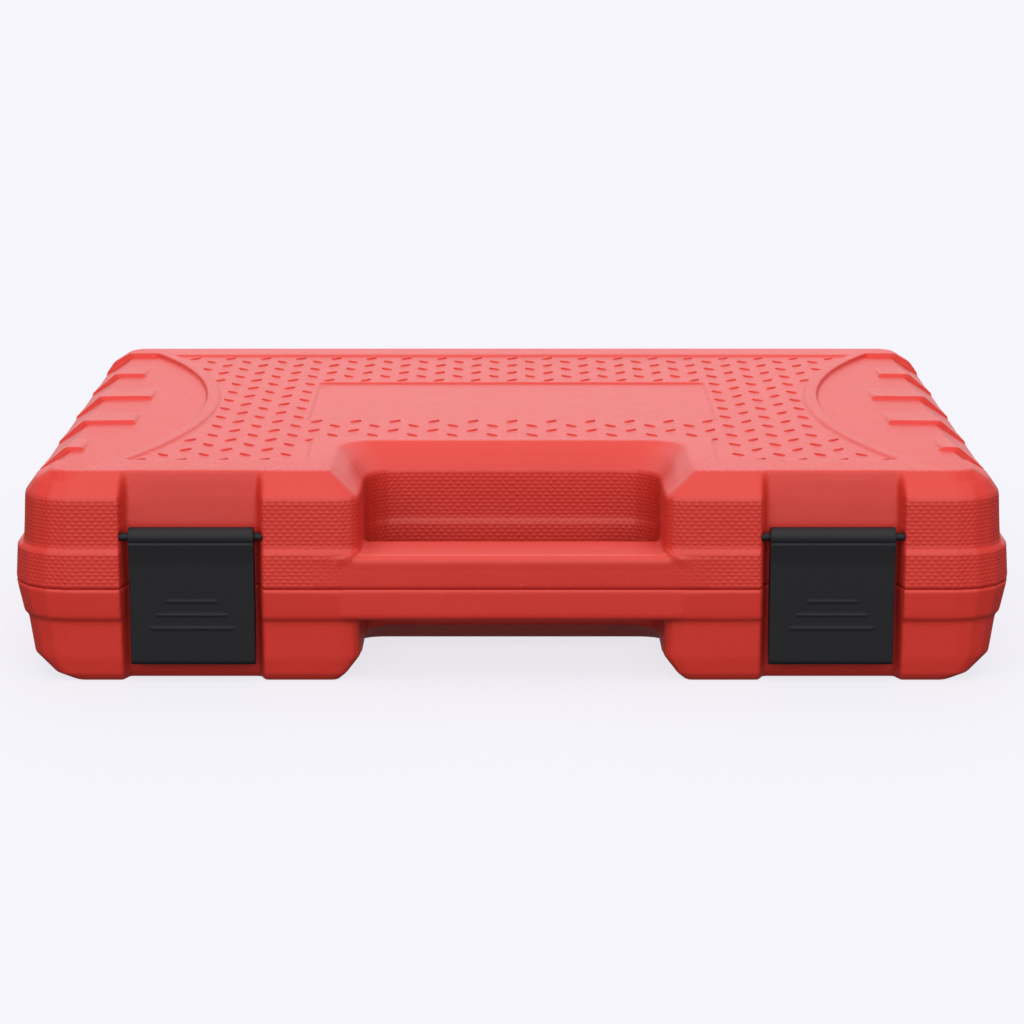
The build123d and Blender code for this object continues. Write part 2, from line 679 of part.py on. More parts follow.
    with BuildPart() as screws:
        for sx, sy in screw_places:
            with BuildSketch(Plane.XY.offset(gear_high - 5 * k)):
                with Locations((sx, sy)):
                    Circle(1.1 * k)
            extrude(amount=5 * k + high - gear_high)
            with BuildSketch(Plane.XY.offset(high - 0.8 * k)):
                with Locations((sx, sy)):
                    Circle(2.1 * k)
            extrude(amount=1.3 * k)
        for sx, sy in screw_places:
            with BuildSketch(Plane.XY.offset(high - 0.3 * k)):
                with Locations((sx, sy)):
                    Rectangle(2.6 * k, 0.6 * k)
                    Rectangle(0.6 * k, 2.6 * k)
            extrude(amount=2 * k, mode=Mode.SUBTRACT)
    write(screws, f"{prefix}_screws")

    # the lever stands turned to one side, and the pawl below with it
    with BuildPart() as lever:
        with BuildSketch(Plane.XY.offset(high + 0.7 * k)):
            with Locations((lever_x, y)):
                Circle(5.2 * k)
            with BuildLine():
                Polyline(
                    (lever_x + 1 * k, y - 5.0 * k), (lever_x + 13.5 * k, y - 6.6 * k),
                    (lever_x + 14.5 * k, y - 2.4 * k), (lever_x + 3 * k, y + 4.2 * k), close=True)
            make_face()
        extrude(amount=2.6 * k)
        chamfer(lever.edges().group_by(Axis.Z)[-1], 0.6 * k)
        with BuildSketch(Plane.XY.offset(gear_low + 1.2 * k)):
            with Locations((lever_x, y)):
                Circle(2.4 * k)
        extrude(amount=high - gear_low)
    write(lever, f"{prefix}_lever")

    with BuildPart() as pawl:
        with BuildSketch(Plane.XY.offset(gear_low + 0.3)):
            with Locations((lever_x, y)):
                Circle(7.0 * k)
                Circle(2.4 * k + running, mode=Mode.SUBTRACT)
            with Locations((x, y)):
                Circle(gear_r + 1.3 * k, mode=Mode.SUBTRACT)
            with Locations((lever_x + 8 * k, y)):
                Circle(3.6 * k, mode=Mode.SUBTRACT)
        extrude(amount=gear_high - gear_low - 0.6)
    write(pawl, f"{prefix}_pawl")

    with BuildPart() as button:
        with BuildSketch(Plane.XY.offset(gear_low + 5 * k)):
            with Locations((x, y)):
                Circle(button_r)
        extrude(amount=high - gear_low - 5 * k + 3.2 * k)
        chamfer(button.edges().group_by(Axis.Z)[-1], 0.8 * k)
    write(button, f"{prefix}_button")

    well(x, y, head_r + 0.6, low - 0.6)
    well(x, y, drive / math.sqrt(2) + 0.6, low - 0.6 * k - 1.2 * drive)
    box_pocket(x, y - 15.5 * k, grip_start + 1, y + 15.5 * k, low - 1.0)
    trough("x", grip_start, grip_end, y, z, 14.5 * k)


ratchet("ratchet", -113.0, -62.0, 236.0, half_inch)
ratchet("small_ratchet", -159.0, 3.0, 132.0, quarter_inch)

# ---- spinner handle -------------------------------------------------------------------------
spinner_x, spinner_y, spinner_r = -14.0, 3.0, 13.0
spinner_z = lying_height(spinner_r)
with BuildPart() as spinner_shaft:
    add(turned(along_x(spinner_x + 70, spinner_y, spinner_z), [
        (0, 0), (3.6, 0), (3.6, 68), (4.6, 70), (4.6, 74), (0, 74)]))
    with BuildSketch(Plane.YZ.offset(spinner_x + 144)):
        with Locations((spinner_y, spinner_z)):
            Rectangle(quarter_inch, quarter_inch)
    extrude(amount=8)
write(spinner_shaft, "spinner_shaft")
with BuildPart() as spinner_grip:
    add(turned(along_x(spinner_x, spinner_y, spinner_z), [
        (0, 0), (9, 0), (12.4, 2.5), (13, 8), (13, 56), (11.6, 66), (9.0, 74), (9.4, 84),
        (8.2, 88), (0, 88)]))
    with BuildSketch(Plane.YZ.offset(spinner_x + 8)):
        with Locations((spinner_y, spinner_z)):
            with PolarLocations(spinner_r + 1.9, 8):
                Circle(3.2)
    extrude(amount=54, mode=Mode.SUBTRACT)
    add(spinner_shaft.part, mode=Mode.SUBTRACT)
write(spinner_grip, "spinner_grip")
trough("x", spinner_x, spinner_x + 152, spinner_y, spinner_z, spinner_r)

# ---- T-handle: a bar and a head that slides along it --------------------------------------------
t_x, t_y, t_z, t_half, t_r = 8.0, 59.0, 35.0, 55.0, 3.9
with BuildPart() as t_handle_bar:
    add(turned(along_x(t_x - t_half, t_y, t_z), [
        (0, 0), (4.4, 0), (5.2, 0.8), (5.2, 5), (t_r, 6), (t_r, 2 * t_half - 6),
        (5.2, 2 * t_half - 5), (5.2, 2 * t_half - 0.8), (4.4, 2 * t_half), (0, 2 * t_half)]))
write(t_handle_bar, "t_handle_bar")
with BuildPart() as t_handle_head:
    with Locations((t_x, t_y, t_z)):
        Box(13, 13, 13)
    chamfer(t_handle_head.edges(), 1.2)
    with BuildSketch(Plane.XY.offset(t_z - 6.5)):
        with Locations((t_x, t_y)):
            Rectangle(quarter_inch, quarter_inch)
    extrude(amount=-8)
    with BuildSketch(Plane.YZ.offset(t_x - 10)):
        with Locations((t_y, t_z)):
            Circle(t_r + running)
    extrude(amount=20, mode=Mode.SUBTRACT)
write(t_handle_head, "t_handle_head")
trough("x", t_x - t_half, t_x + t_half, t_y, t_z, 5.2)
box_pocket(t_x - t_half + 5, t_y - 7.6, t_x + t_half - 5, t_y + 7.6, t_z - 15.6)

# ---- bits, bit adapter and hex keys -------------------------------------------------------------
bit_pitch = 10.4
bit_z = panel_floor - 1.0
bit_places = [88.0 + bit_pitch * i for i in range(8)]
with BuildPart() as screwdriver_bits:
    for i, x in enumerate(bit_places):
        tip = 1.2 + 0.3 * (i % 4)
        plane = Plane(origin=(x, -128.0, bit_z), x_dir=(1, 0, 0), z_dir=(0, 1, 0))
        with BuildSketch(plane):
            RegularPolygon(quarter_inch / 2 / math.cos(math.radians(30)), 6)
        extrude(amount=12)
        with BuildSketch(plane.offset(12)):
            Circle(2.6)
        with BuildSketch(plane.offset(22)):
            Circle(tip + 0.8)
        loft()
        with BuildSketch(plane.offset(22)):
            RegularPolygon(tip + 0.6, 6 if i % 2 else 4)
        extrude(amount=4)
write(screwdriver_bits, "screwdriver_bits")
for x in bit_places:
    trough("y", -128.0, -102.0, x, bit_z, 3.8)

adapter_x, adapter_y = 62.0, -26.0
adapter_z = lying_height(9.0)
with BuildPart() as bit_adapter:
    add(turned(along_x(adapter_x, adapter_y, adapter_z), [
        (0, 0), (8.2, 0), (9, 0.8), (9, 14), (7.2, 17), (7.2, 33.2), (6.4, 34), (0, 34)]))
    with BuildSketch(Plane.YZ.offset(adapter_x)):
        with Locations((adapter_y, adapter_z)):
            Rectangle(half_inch + 0.2, half_inch + 0.2)
    extrude(amount=13, mode=Mode.SUBTRACT)
    with BuildSketch(Plane.YZ.offset(adapter_x + 34)):
        with Locations((adapter_y, adapter_z)):
            RegularPolygon(4.7, 6)
    extrude(amount=-14, mode=Mode.SUBTRACT)
write(bit_adapter, "bit_adapter")
trough("x", adapter_x, adapter_x + 34, adapter_y, adapter_z, 9.0)

key_z = panel_floor - 1.5
key_sizes = (6.0, 5.0, 4.0, 3.0)
with BuildPart() as hex_keys:
    for i, size in enumerate(key_sizes):
        y = -102.0 - 7.4 * i
        x0, x1 = -170.0 + 2 * i, -96.0 - 7.0 * i
        bend = 2.2 * size
        with BuildLine() as path:
            Line((x0, y, key_z), (x1 - bend, y, key_z))
            turn = TangentArc((x1 - bend, y, key_z), (x1, y, key_z - bend), tangent=(1, 0, 0))
            Line(turn @ 1, (x1, y, key_z - bend - 8))
        with BuildSketch(Plane.YZ.offset(x0)):
            with Locations((y, key_z)):
                RegularPolygon(size / 2 / math.cos(math.radians(30)), 6)
        sweep(path=path.line)
write(hex_keys, "hex_keys")
for i, size in enumerate(key_sizes):
    y = -102.0 - 7.4 * i
    half = size / 2 + 0.8
    x1 = -96.0 - 7.0 * i
    box_pocket(-171.0 + 2 * i, y - half, x1 + half, y + half, key_z - half)
    box_pocket(x1 - half - 3.0 * size, y - half, x1 + half, y + half, key_z - 2.2 * size - 9)

# finger channels across the rows, so that a tool can be lifted out
box_pocket(-172.0, 96.0, 172.0, 108.0, 22.0)
box_pocket(-172.0, 52.0, -56.0, 62.0, 26.0)
box_pocket(-96.0, -36.0, -74.0, 42.0, 22.0)
box_pocket(34.0, -36.0, 54.0, 42.0, 22.0)
box_pocket(86.0, -120.0, 164.0, -112.0, 26.0)
box_pocket(-160.0, -126.0, -146.0, -98.0, 26.0)


# ---- the tray: a rim, a sunken panel, and a wall round every pocket ------------------------------
# A pocket is made twice: grown by the tray's wall and added, then at its own size and cut away.
def pocket_solid(pocket, grow, top):
    with BuildPart() as hole:
        if pocket[0] == "trough":
            _, axis, start, end, across, z, r = pocket
            plane = Plane.YZ.offset(start - grow)
            if axis == "y":
                plane = Plane(origin=(0, start - grow, 0), x_dir=(-1, 0, 0), z_dir=(0, 1, 0))
                across = -across
            with BuildSketch(plane):
                with Locations((across, z)):
                    Circle(r + grow)
                if top > z:
                    with Locations((across, (z + top) / 2)):
                        Rectangle(2 * (r + grow), top - z)
                with Locations((across, top + 50)):
                    Rectangle(200, 100, mode=Mode.SUBTRACT)
            extrude(amount=end - start + 2 * grow)
        elif pocket[0] == "well":
            _, x, y, r, bottom = pocket
            with BuildSketch(Plane.XY.offset(bottom - grow)):
                with Locations((x, y)):
                    Circle(r + grow)
            extrude(amount=top - bottom + grow)
        else:
            _, x0, y0, x1, y1, bottom = pocket
            with BuildSketch(Plane.XY.offset(bottom - grow)):
                with Locations(((x0 + x1) / 2, (y0 + y1) / 2)):
                    Rectangle(x1 - x0 + 2 * grow, y1 - y0 + 2 * grow)
            extrude(amount=top - bottom + grow)
    return hole.part


panel = stack([storage_plan(panel_floor, 0.6), storage_plan(seam_z + 1, 0)])
panel_outer = stack([storage_plan(panel_floor - tray_skin, -1.4), storage_plan(seam_z, -tray_skin)])
with BuildPart() as base_tray:
    with BuildSketch(Plane.XY.offset(seam_z)):
        with BuildLine():
            Polyline(*base_rim[1], close=True)
        make_face()
    extrude(amount=-rim)
    add(panel_outer)
    for pocket in pockets:
        add(pocket_solid(pocket, tray_skin, panel_floor))
    add(panel, mode=Mode.SUBTRACT)
    for pocket in pockets:
        add(pocket_solid(pocket, 0.0, panel_floor + 6), mode=Mode.SUBTRACT)
write(base_tray, "base_tray")
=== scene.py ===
import json
import math
from functools import partial

import bpy
import bmesh
import numpy as np
from mathutils import Matrix, Vector


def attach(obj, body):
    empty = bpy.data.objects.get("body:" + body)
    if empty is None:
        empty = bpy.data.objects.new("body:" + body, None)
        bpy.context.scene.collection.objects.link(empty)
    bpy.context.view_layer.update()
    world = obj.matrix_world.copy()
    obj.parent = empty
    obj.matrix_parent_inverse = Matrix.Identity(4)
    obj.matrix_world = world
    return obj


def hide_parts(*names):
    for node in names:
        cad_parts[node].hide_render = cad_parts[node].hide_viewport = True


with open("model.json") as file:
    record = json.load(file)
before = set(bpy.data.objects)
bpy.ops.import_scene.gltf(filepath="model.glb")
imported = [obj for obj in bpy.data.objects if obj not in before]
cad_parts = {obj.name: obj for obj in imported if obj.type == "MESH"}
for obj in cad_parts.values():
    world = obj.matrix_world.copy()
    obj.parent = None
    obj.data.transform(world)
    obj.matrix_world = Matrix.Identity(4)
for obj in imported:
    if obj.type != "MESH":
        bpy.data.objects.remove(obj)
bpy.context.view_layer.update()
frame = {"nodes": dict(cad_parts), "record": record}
print("frame loaded,", len(frame["nodes"]), "nodes")

mm = 0.001

# the camera: a long lens, a little above the case
cameraSpec = {"distance": 1324 * mm, "height": 334.8 * mm, "pitch": 12.81, "lens": 110.8}


def makeCamera(spec):
    data = bpy.data.cameras.new("studioCamera")
    data.lens = spec["lens"]
    data.sensor_width = 36
    data.clip_end = 60
    camera = bpy.data.objects.new("studioCamera", data)
    camera.location = (0, -spec["distance"], spec["height"])
    camera.rotation_euler = (math.radians(90 - spec["pitch"]), 0, 0)
    bpy.context.scene.collection.objects.link(camera)
    bpy.context.scene.camera = camera


makeCamera(cameraSpec)
bpy.context.scene.view_settings.view_transform = "Standard"


def fromHex(code):
    # sRGB hex to linear
    parts = [int(code[i:i + 2], 16) / 255 for i in (1, 3, 5)]
    return tuple(c / 12.92 if c <= 0.04045 else ((c + 0.055) / 1.055) ** 2.4 for c in parts) + (1,)


def addNode(tree, kind, settings, *inputs, at=None, **named):
    # settings are the node's own properties; an input takes a socket, a node's first output or a value
    node = tree.nodes.new("ShaderNode" + kind)
    for name, value in settings.items():
        setattr(node, name, value)
    places = dict(enumerate(inputs)) | (at or {}) | {name.replace("_", " "): v for name, v in named.items()}
    for place, value in places.items():
        if isinstance(value, bpy.types.Node):
            value = value.outputs[0]
        if isinstance(value, bpy.types.NodeSocket):
            tree.links.new(value, node.inputs[place])
        else:
            node.inputs[place].default_value = value
    return node


# settings of the arithmetic nodes
times, plus, minus, over, timesPlus, larger, lessThan, moreThan = [
    {"operation": name} for name in ("MULTIPLY", "ADD", "SUBTRACT", "DIVIDE", "MULTIPLY_ADD", "MAXIMUM",
                                     "LESS_THAN", "GREATER_THAN")]
unsigned, rounded, remainder, cosine, root = [
    {"operation": name} for name in ("ABSOLUTE", "ROUND", "FLOORED_MODULO", "COSINE", "SQRT")]
rgba = {"data_type": "RGBA"}
scaled = {"operation": "SCALE"}


def startMaterial(name):
    material = bpy.data.materials.new(name)
    material.use_nodes = True
    tree = material.node_tree
    tree.nodes.clear()
    output = tree.nodes.new("ShaderNodeOutputMaterial")
    shader = tree.nodes.new("ShaderNodeBsdfPrincipled")
    tree.links.new(shader.outputs[0], output.inputs[0])
    return material, tree, shader


def newPiece(name, mesh, material, body, replaced=()):
    piece = bpy.data.objects.new(name, mesh)
    bpy.context.scene.collection.objects.link(piece)
    mesh.materials.clear()
    mesh.materials.append(material)
    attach(piece, body)
    if replaced:
        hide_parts(*replaced)
    return piece


# blow-moulded high-density polyethylene: waxy, satin, a soft wide highlight; the tool's chemical
# etch leaves rows of small lozenges on the lid's upright walls and a fine orange peel elsewhere
hdpeSpec = {
    "colour": "#DF3A2F", "deep": "#D5362C", "hollow": "#C53026", "scuff": "#F2A59C",
    "roughness": 0.42, "ior": 1.50, "gloss": 0.42, "dishLoss": 0.12,
    "driftScale": 0.012, "mottleScale": 0.35, "peel": 0.5, "peelDepth": 0.05,      # mm
    "waveScale": 0.045, "waveDepth": 0.35,
    "rowPitch": 1.5, "lozengePitch": 3.0, "lozengeDepth": 0.13,                    # mm
    "grainLow": 38.3, "grainHigh": 72.4, "uprightBelow": 0.42,                     # the etched walls
    "innerBlocks": 75.0,                                 # the block sides nearer the middle face inwards
    "barFade": (60.0, 82.0), "barY": -118.0, "barTop": 53.5,                       # smooth handle bar
    "smoothLatch": (93.0, 153.0, -147.5, -136.0),                                  # smooth latch recess
    "handHollow": (66.0, -121.0, -80.0), "latchHollow": (97.5, 148.8, -134.0), "latchShare": 0.6,
    "hollowFade": (62.0, 81.0),
    "finePitch": 1.5, "fineDepth": 0.16, "topZ": 80.9, "dishZ": 78.5,              # the etch on the top
    "ringCentre": 386.7, "ringInner": 256.5, "ringOuter": 262.0, "planMid": -7.0, "marginY": -120.5,
    "seamZ": 38.6, "rubReach": (0.4, 4.0), "rubScale": 0.75, "rubFrom": 0.62, "rubFull": 0.74, "rubMost": 0.5,
}


def hdpeRed(name, spec, rows=True):
    material, tree, shader = startMaterial(name)
    add = partial(addNode, tree)
    place = add("TexCoord", {})
    point = add("VectorMath", scaled, place.outputs["Object"], Scale=1000)
    x, y, z = add("SeparateXYZ", {}, point).outputs
    acrossX = add("Math", unsigned, x)

    def within(value, low, high):
        return add("Math", times, add("Math", moreThan, value, low), add("Math", lessThan, value, high))

    # slow drift of the colour where the wall cooled unevenly, and a fine mottling
    drift = add("TexNoise", {}, Vector=point, Scale=spec["driftScale"], Detail=3.0)
    mottle = add("TexNoise", {}, Vector=point, Scale=spec["mottleScale"], Detail=4.0)
    share = add("Math", plus, add("Math", times, drift, 0.7), add("Math", times, mottle, 0.3))
    colour = add("Mix", rgba, share, at={6: fromHex(spec["colour"]), 7: fromHex(spec["deep"])}).outputs[2]

    peel = add("TexNoise", {}, Vector=point, Scale=1 / spec["peel"], Detail=2.0)
    waves = add("TexNoise", {}, Vector=point, Scale=spec["waveScale"], Detail=1.0)
    height = add("Math", times, peel, spec["peelDepth"])
    height = add("Math", plus, height, add("Math", times, waves, spec["waveDepth"]))

    if rows:
        # a deeper red in the hollows, because the broad lights fill them more than they should be
        half, handFront, handRear = spec["handHollow"]
        byHand = add("Math", times, add("Math", lessThan, acrossX, half), within(y, handFront, handRear))
        latchIn, latchOut, latchY = spec["latchHollow"]
        byLatch = add("Math", times, within(acrossX, latchIn, latchOut), add("Math", lessThan, y, latchY))
        byLatch = add("Math", times, byLatch, spec["latchShare"])
        low, high = spec["hollowFade"]
        fadeUp = add("MapRange", {}, z, From_Min=low, From_Max=high, To_Min=1.0, To_Max=0.0)
        hollow = add("Math", times, add("Math", larger, byHand, byLatch), fadeUp)
        colour = add("Mix", rgba, hollow, at={6: colour, 7: fromHex(spec["hollow"])}).outputs[2]

        # rows of lozenges run level round the walls; distance along the wall turns the corners
        inwards = add("Math", larger, add("Math", lessThan, acrossX, spec["innerBlocks"]),
                      add("Math", moreThan, y, 0.0))
        turn = add("Math", minus, 1.0, add("Math", times, 2.0, inwards))
        along = add("Math", plus, add("Math", times, acrossX, turn), y)
        level = add("Math", over, z, spec["rowPitch"])
        everyOther = add("Math", remainder, add("Math", rounded, level), 2.0)
        shift = add("Math", times, everyOther, 0.5)
        step = add("Math", plus, add("Math", over, along, spec["lozengePitch"]), shift)
        facing = add("SeparateXYZ", {}, place.outputs["Normal"]).outputs[2]
        upright = add("Math", lessThan, add("Math", unsigned, facing), spec["uprightBelow"])
        inBand = within(z, spec["grainLow"], spec["grainHigh"])
        # none on the handle bar nor in the latch recesses
        low, high = spec["barFade"]
        onBar = add("MapRange", {}, acrossX, From_Min=low, From_Max=high, To_Min=1.0, To_Max=0.0)
        onBar = add("Math", times, onBar, add("Math", lessThan, y, spec["barY"]))
        onBar = add("Math", times, onBar, add("Math", lessThan, z, spec["barTop"]))
        latchIn, latchOut, latchFront, latchRear = spec["smoothLatch"]
        inRecess = add("Math", times, within(acrossX, latchIn, latchOut), within(y, latchFront, latchRear))
        etched = add("Math", minus, 1.0, add("Math", larger, onBar, inRecess))
        etched = add("Math", times, add("Math", times, upright, inBand), etched)
        walls = add("Math", times, etched, spec["lozengeDepth"])

        # the same etch, finer and fainter, on the rings and the front margin of the top
        fromSide = add("Math", minus, spec["ringCentre"], acrossX)
        fromMid = add("Math", minus, y, spec["planMid"])
        radius = add("Math", plus, add("Math", times, fromSide, fromSide),
                     add("Math", times, fromMid, fromMid))
        radius = add("Math", root, radius)
        onRing = within(radius, spec["ringInner"], spec["ringOuter"])
        onTop = add("Math", larger, onRing, add("Math", lessThan, y, spec["marginY"]))
        onTop = add("Math", times, onTop, add("Math", moreThan, z, spec["topZ"]))
        top = add("Math", times, onTop, spec["fineDepth"])
        topLevel = add("Math", over, y, spec["finePitch"])
        topOther = add("Math", remainder, add("Math", rounded, topLevel), 2.0)
        topShift = add("Math", times, topOther, 0.5)
        topStep = add("Math", plus, add("Math", over, x, 2 * spec["finePitch"]), topShift)

        # each lozenge is a rounded hump, the product of one wave along the wall and one across
        for stepOf, levelOf, depth in ((step, level, walls), (topStep, topLevel, top)):
            humps = []
            for phase in (stepOf, levelOf):
                wave = add("Math", cosine, add("Math", times, phase, 2 * math.pi))
                humps.append(add("Math", timesPlus, wave, 0.5, 0.5))
            height = add("Math", plus, height, add("Math", times, add("Math", times, *humps), depth))

        # the dishes inside the rings are not etched, and take less of the pale sheen than the field
        inDish = add("Math", times, add("Math", lessThan, radius, spec["ringInner"]),
                     add("Math", moreThan, z, spec["dishZ"]))
        gloss = add("Math", timesPlus, inDish, -spec["dishLoss"], spec["gloss"])

        # pale rubs beside the seam, where the halves knock together
        fromSeam = add("Math", unsigned, add("Math", minus, z, spec["seamZ"]))
        low, high = spec["rubReach"]
        nearSeam = add("MapRange", {}, fromSeam, From_Min=low, From_Max=high, To_Min=1.0, To_Max=0.0)
        rub = add("TexNoise", {}, Vector=point, Scale=spec["rubScale"], Detail=5.0, Roughness=0.7)
        rubMask = add("MapRange", {}, rub, From_Min=spec["rubFrom"], From_Max=spec["rubFull"],
                      To_Min=0.0, To_Max=spec["rubMost"])
        rubShare = add("Math", times, nearSeam, rubMask)
        colour = add("Mix", rgba, rubShare, at={6: colour, 7: fromHex(spec["scuff"])}).outputs[2]
        tree.links.new(gloss.outputs[0], shader.inputs["Specular IOR Level"])
    else:
        shader.inputs["Specular IOR Level"].default_value = spec["gloss"]

    bump = add("Bump", {}, Height=height, Strength=1.0, Distance=mm)
    rough = add("Math", timesPlus, mottle, 0.10, spec["roughness"] - 0.05)
    tree.links.new(colour, shader.inputs["Base Color"])
    tree.links.new(rough.outputs[0], shader.inputs["Roughness"])
    tree.links.new(bump.outputs[0], shader.inputs["Normal"])
    shader.inputs["IOR"].default_value = spec["ior"]
    return material


# injection-moulded polypropylene, mass-coloured black: even satin with faint flow marks
ppSpec = {"colour": "#202024", "roughness": 0.55, "ior": 1.49, "gloss": 0.28, "grain": 0.35}


def ppBlack(name, spec):
    material, tree, shader = startMaterial(name)
    place = addNode(tree, "TexCoord", {})
    point = addNode(tree, "VectorMath", scaled, place.outputs["Object"], Scale=1000)
    grain = addNode(tree, "TexNoise", {}, Vector=point, Scale=1 / spec["grain"], Detail=2.0)
    flow = addNode(tree, "TexNoise", {}, Vector=point, Scale=0.06, Detail=3.0)
    rough = addNode(tree, "MapRange", {}, flow,
                    To_Min=spec["roughness"] - 0.07, To_Max=spec["roughness"] + 0.09)
    bump = addNode(tree, "Bump", {}, Height=grain, Strength=0.5, Distance=0.03 * mm)
    shader.inputs["Base Color"].default_value = fromHex(spec["colour"])
    shader.inputs["IOR"].default_value = spec["ior"]
    shader.inputs["Specular IOR Level"].default_value = spec["gloss"]
    tree.links.new(rough.outputs[0], shader.inputs["Roughness"])
    tree.links.new(bump.outputs[0], shader.inputs["Normal"])
    return material


# metals: plated chrome-vanadium, blackened tool steel and bright pin steel differ in colour,
# roughness and how strong the fine turning marks are
metalSpecs = {
    "chromeVanadium": {"colour": "#C9CCCF", "roughness": 0.20, "marks": 0.06, "depth": 0.006},
    "blackenedToolSteel": {"colour": "#5A5B5E", "roughness": 0.38, "marks": 0.10, "depth": 0.012},
    "brightSteel": {"colour": "#B4B5B6", "roughness": 0.26, "marks": 0.08, "depth": 0.008},
}


def plainMetal(name, spec):
    material, tree, shader = startMaterial(name)
    place = addNode(tree, "TexCoord", {})
    point = addNode(tree, "VectorMath", scaled, place.outputs["Object"], Scale=1000)
    haze = addNode(tree, "TexNoise", {}, Vector=point, Scale=0.15, Detail=4.0)
    fine = addNode(tree, "TexNoise", {}, Vector=point, Scale=2.2, Detail=3.0)
    rough = addNode(tree, "MapRange", {}, haze,
                    To_Min=spec["roughness"] - spec["marks"], To_Max=spec["roughness"] + spec["marks"])
    bump = addNode(tree, "Bump", {}, Height=fine, Strength=0.6, Distance=spec["depth"] * mm)
    shader.inputs["Base Color"].default_value = fromHex(spec["colour"])
    shader.inputs["Metallic"].default_value = 1.0
    tree.links.new(rough.outputs[0], shader.inputs["Roughness"])
    tree.links.new(bump.outputs[0], shader.inputs["Normal"])
    return material


# soft grips: thermoplastic rubber, matt with a fine sandy grain
rubberSpecs = {
    "thermoplasticGrip": {"colour": "#1B1C1F", "roughness": 0.55, "grain": 0.5, "depth": 0.06},
    "nitrileRubber": {"colour": "#262626", "roughness": 0.70, "grain": 0.4, "depth": 0.05},
}


def mattRubber(name, spec):
    material, tree, shader = startMaterial(name)
    place = addNode(tree, "TexCoord", {})
    point = addNode(tree, "VectorMath", scaled, place.outputs["Object"], Scale=1000)
    grain = addNode(tree, "TexNoise", {}, Vector=point, Scale=1 / spec["grain"], Detail=3.0)
    bump = addNode(tree, "Bump", {}, Height=grain, Strength=0.8, Distance=spec["depth"] * mm)
    shader.inputs["Base Color"].default_value = fromHex(spec["colour"])
    shader.inputs["Roughness"].default_value = spec["roughness"]
    tree.links.new(bump.outputs[0], shader.inputs["Normal"])
    return material


wallRed = hdpeRed("blowMouldedHdpeGrained", hdpeSpec)
innerRed = hdpeRed("blowMouldedHdpePlain", hdpeSpec, rows=False)
latchBlack = ppBlack("mouldedPolypropylene", ppSpec)
chromeVanadium = plainMetal("satinChromeVanadium", metalSpecs["chromeVanadium"])
blackenedToolSteel = plainMetal("blackenedToolSteel", metalSpecs["blackenedToolSteel"])
brightSteel = plainMetal("brightSteel", metalSpecs["brightSteel"])
thermoplasticGrip = mattRubber("thermoplasticGrip", rubberSpecs["thermoplasticGrip"])
nitrileRubber = mattRubber("nitrileRubber", rubberSpecs["nitrileRubber"])

bySlot = {
    "case_red": wallRed, "latch_black": latchBlack, "pin_steel": brightSteel,
    "tool_chrome": chromeVanadium, "tool_steel": blackenedToolSteel,
    "grip_black": thermoplasticGrip, "grip_rubber": nitrileRubber,
}
for part in frame["record"]["subparts"]:
    node = frame["nodes"][part["node"]]
    for place in node.material_slots:
        place.material = bySlot[part["material_slot"]]
    if not node.material_slots:
        node.data.materials.append(bySlot[part["material_slot"]])
print("materials made")


# A moulded wall has no sharp edge anywhere, so each shell is remeshed and its edges are eased:
# fully on the body of the case, less on the crisp relief of the lid's top.
shellSpecs = {
    "lid_shell": {"name": "lidShell", "voxel": 0.75, "ease": 8, "reliefEase": 0.15, "faces": 180000},
    "base_shell": {"name": "baseShell", "voxel": 0.75, "ease": 6, "reliefEase": 0.15, "faces": 160000},
    "lid_liner": {"name": "lidLiner", "voxel": 0.9, "ease": 8, "faces": 80000},
    "base_tray": {"name": "baseTray", "voxel": 0.8, "ease": 4, "faces": 180000},
    "latch_left": {"name": "latchLeft", "voxel": 0.3, "ease": 7, "faces": 60000},
    "latch_right": {"name": "latchRight", "voxel": 0.3, "ease": 7, "faces": 60000},
}
crownSpec = {"rise": 0.7, "fromZ": 74.0, "fullZ": 79.0, "halfX": 180.0, "halfY": 138.0}   # mm


def crown(points):
    # the lid's large flat top bows up a little in the middle; points and result in millimetres
    x, y, z = points[:, 0], points[:, 1], points[:, 2]
    share = np.clip((z - crownSpec["fromZ"]) / (crownSpec["fullZ"] - crownSpec["fromZ"]), 0, 1)
    bow = np.clip(1 - (x / crownSpec["halfX"]) ** 4, 0, 1) * np.clip(1 - (y / crownSpec["halfY"]) ** 4, 0, 1)
    return crownSpec["rise"] * share * bow


# the handle bar's upper front edge is drawn out to a smaller radius, fading out at its ends; mm
barSpec = {"end": 70.0, "fade": 10.0, "centreY": -145.3, "centreZ": 44.5, "radius": 6.5, "crisp": 3.2,
           "skin": 1.3, "beyond": 2.0}


def crispBar(points, spec):
    out = spec["centreY"] - points[:, 1]
    up = points[:, 2] - spec["centreZ"]
    far = np.hypot(out, up)
    near = (out > 0) & (up > 0) & (np.abs(points[:, 0]) < spec["end"])
    near &= (far > spec["radius"] - spec["skin"]) & (far < spec["radius"] + spec["beyond"])
    a, b = out[near] / far[near], up[near] / far[near]
    offset = spec["radius"] - spec["crisp"]
    middle = offset * (a + b)
    toArc = middle + np.sqrt(np.clip(middle ** 2 - 2 * offset ** 2 + spec["crisp"] ** 2, 0, None))
    reach = np.where(b * spec["radius"] <= a * offset, spec["radius"] / a,
                     np.where(a * spec["radius"] <= b * offset, spec["radius"] / b, toArc))
    share = np.clip((spec["end"] - np.abs(points[near, 0])) / spec["fade"], 0, 1)
    push = (reach - spec["radius"]) * share
    points[near, 1] -= a * push
    points[near, 2] += b * push


def meshPoints(mesh):
    flat = np.zeros(len(mesh.vertices) * 3, np.float32)
    mesh.vertices.foreach_get("co", flat)
    return flat.reshape(-1, 3) / mm


